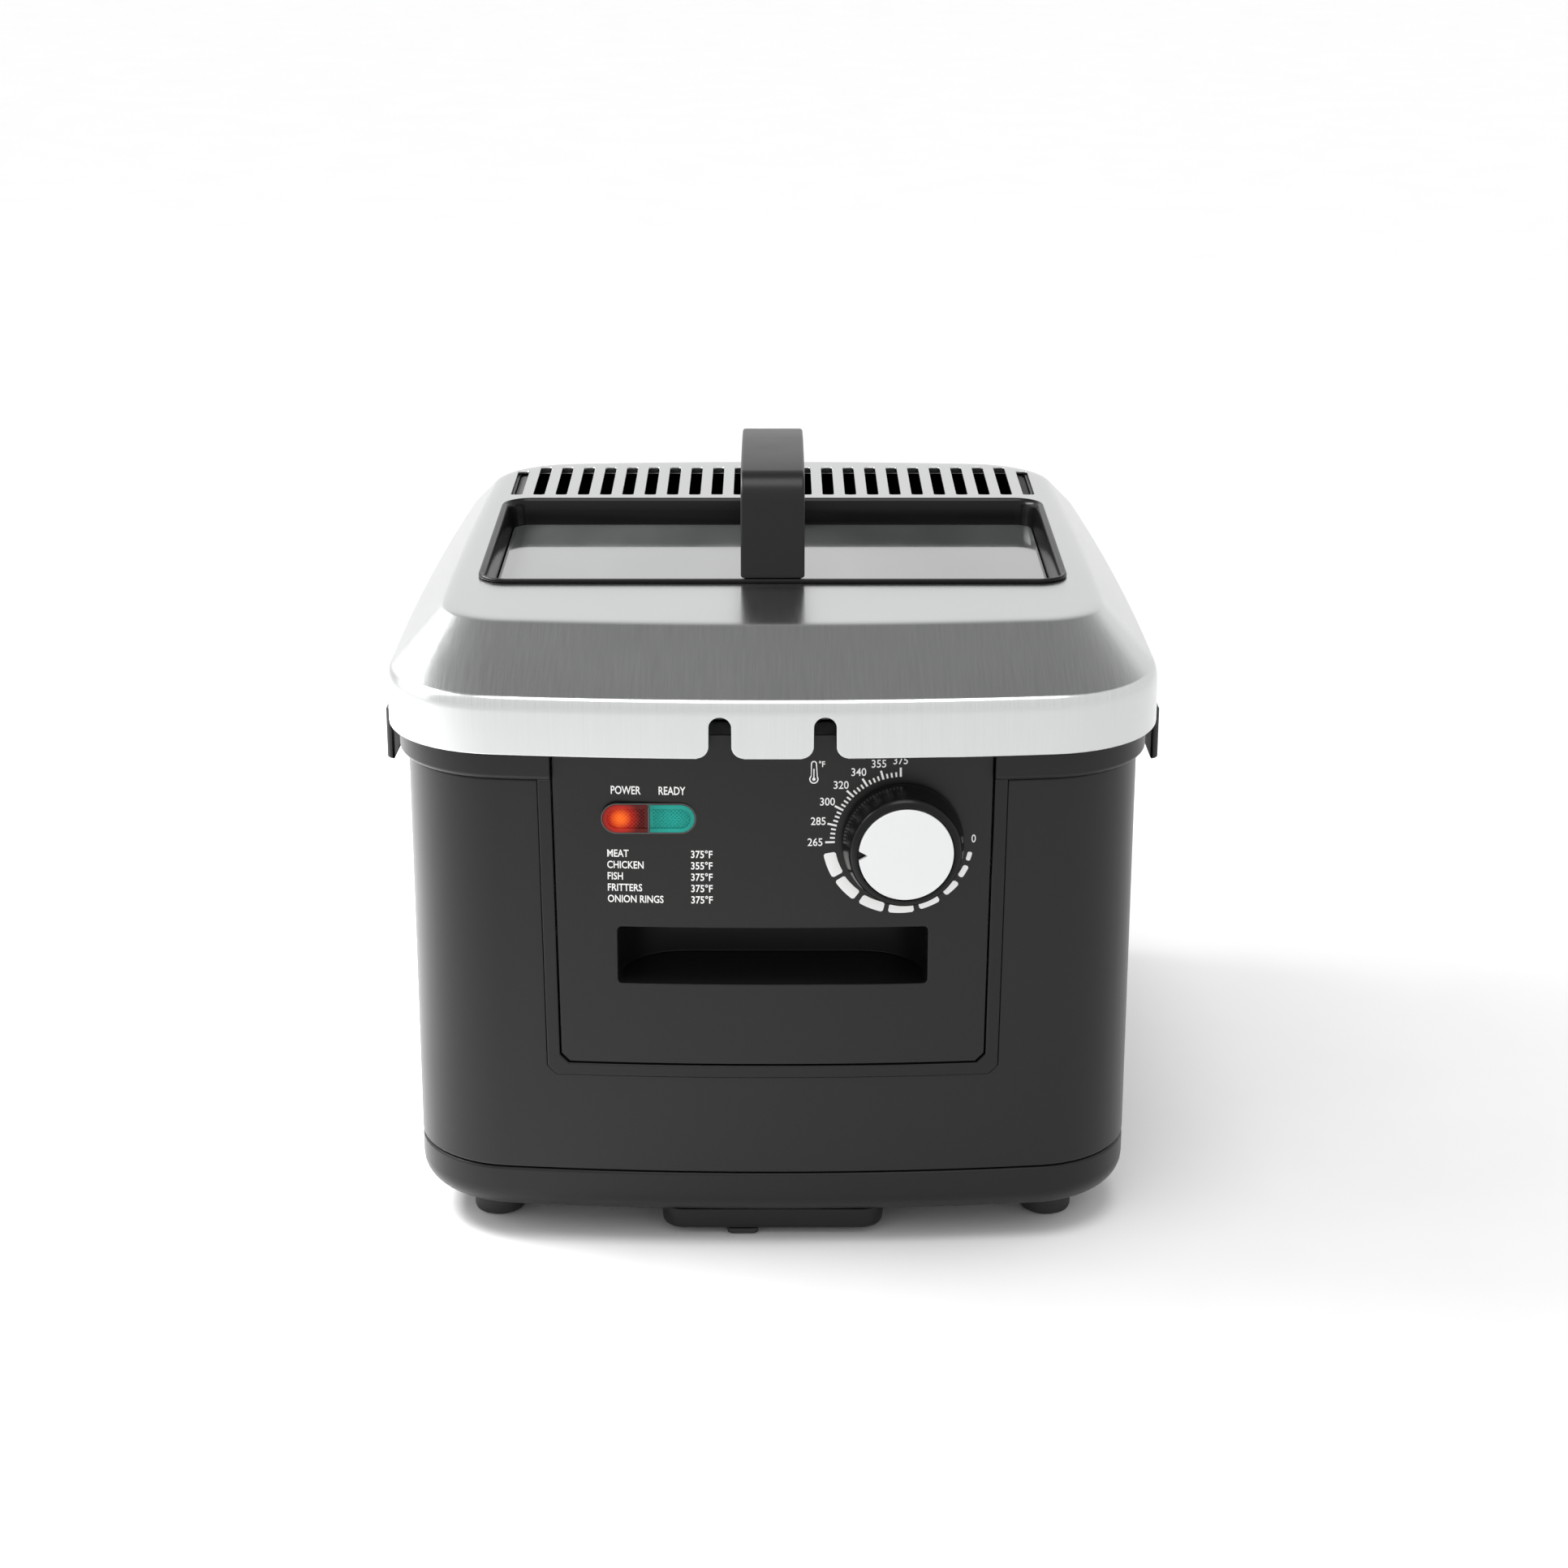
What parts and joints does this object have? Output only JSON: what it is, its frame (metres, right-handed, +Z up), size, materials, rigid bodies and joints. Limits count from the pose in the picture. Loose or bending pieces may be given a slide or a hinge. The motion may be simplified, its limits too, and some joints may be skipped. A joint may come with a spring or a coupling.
{
  "type": "deep fryer",
  "caption": "Countertop electric deep fryer: steel lid with a window and vents, black casing, dial control panel, and a lift-out oil pot, heating unit and wire basket.",
  "frame": {"origin": "on the ground, under the middle of the overall box", "axes": "+Z up, +Y from the front control panel towards the back, +X to the right as seen from the front"},
  "size_m": [0.2952, 0.349, 0.2763],
  "materials": {
    "brushed_steel": "fine brushed stainless steel",
    "bright_wire": "bright plated steel wire and sheet",
    "tank_steel": "satin stainless steel sheet",
    "black_plastic": "black moulded plastic, satin",
    "dark_plastic": "black moulded plastic, fine texture",
    "gloss_black": "glossy black plastic",
    "silver_cap": "pale silver disc",
    "clear_glass": "clear toughened glass",
    "red_lens": "translucent red lens",
    "green_lens": "translucent green lens",
    "clear_lens": "clear plastic rim",
    "rubber": "black rubber",
    "element_steel": "heat-tinted steel sheath",
    "filter_foam": "open-cell filter foam",
    "steel": "zinc-plated steel",
    "cable_sheath": "flexible cable sheath",
    "button_red": "red moulded plastic"
  },
  "bodies": {
    "housing": {"housing_shell": "black_plastic", "rim_collar": "dark_plastic", "base_tray": "dark_plastic", "bottom_cover": "steel", "carry_handle_left": "dark_plastic", "carry_handle_right": "dark_plastic", "front_skid": "dark_plastic", "skid_pad": "rubber", "foot_front_left": "rubber", "foot_front_right": "rubber", "foot_rear_left": "rubber", "foot_rear_right": "rubber", "base_screw_front_left": "steel", "base_screw_front_right": "steel", "base_screw_rear_left": "steel", "base_screw_rear_right": "steel", "heat_shield": "steel", "inlet_socket": "gloss_black", "docking_socket": "gloss_black", "mains_harness": "cable_sheath"},
    "pot": {"oil_pot": "tank_steel"},
    "control_unit": {"control_panel": "black_plastic", "control_box": "dark_plastic", "lamp_bezel": "clear_lens", "power_lens": "red_lens", "ready_lens": "green_lens", "lamp_holder": "dark_plastic", "power_lamp": "clear_glass", "ready_lamp": "clear_glass", "thermostat": "gloss_black", "sensor_bulb": "bright_wire", "bulb_clip": "bright_wire", "heating_element": "element_steel", "element_bracket": "bright_wire", "element_guard": "tank_steel", "thermal_cutout": "gloss_black", "terminal_block": "gloss_black", "interlock_switch": "gloss_black", "docking_plug": "gloss_black"},
    "reset_button": {"reset_button": "button_red"},
    "knob": {"knob_body": "gloss_black", "knob_cap": "silver_cap", "thermostat_shaft": "steel"},
    "basket": {"basket_mesh": "bright_wire", "basket_rim": "bright_wire", "basket_runner_left": "bright_wire", "basket_runner_right": "bright_wire", "basket_hook": "bright_wire", "handle_bracket": "bright_wire"},
    "basket_handle": {"basket_handle_wire": "bright_wire", "basket_handle_grip": "dark_plastic"},
    "lid": {"lid_shell": "brushed_steel", "window_bezel": "gloss_black", "lid_glass": "clear_glass", "glass_gasket": "rubber", "lid_handle": "dark_plastic", "handle_stud_front": "steel", "handle_stud_rear": "steel", "filter_tray": "dark_plastic", "filter_pad": "filter_foam"}
  },
  "joints": [
    {"name": "pot_lift", "type": "slide", "parent": "housing", "child": "pot", "axis": [0, 0, 1], "range_m": [0, 0.17]},
    {"name": "control_unit_lift", "type": "slide", "parent": "pot", "child": "control_unit", "axis": [0, 0, 1], "range_m": [0, 0.16]},
    {"name": "basket_lift", "type": "slide", "parent": "control_unit", "child": "basket", "axis": [0, 0, 1], "range_m": [0, 0.14]},
    {"name": "basket_handle_lift", "type": "slide", "parent": "basket", "child": "basket_handle", "axis": [0, 0, 1], "range_m": [0, 0.12]},
    {"name": "lid_lift", "type": "slide", "parent": "basket_handle", "child": "lid", "axis": [0, 0, 1], "range_m": [0, 0.12]},
    {"name": "knob_turn", "type": "hinge", "parent": "control_unit", "child": "knob", "pos_m": [0.0475, -0.15723, 0.1645], "axis": [-0.0528, 0.9986, 0], "range_deg": [-180, 90]},
    {"name": "reset_press", "type": "slide", "parent": "control_unit", "child": "reset_button", "axis": [0, -1, 0], "range_m": [0, 0.002], "stiffness_N_per_m": 400}
  ]
}
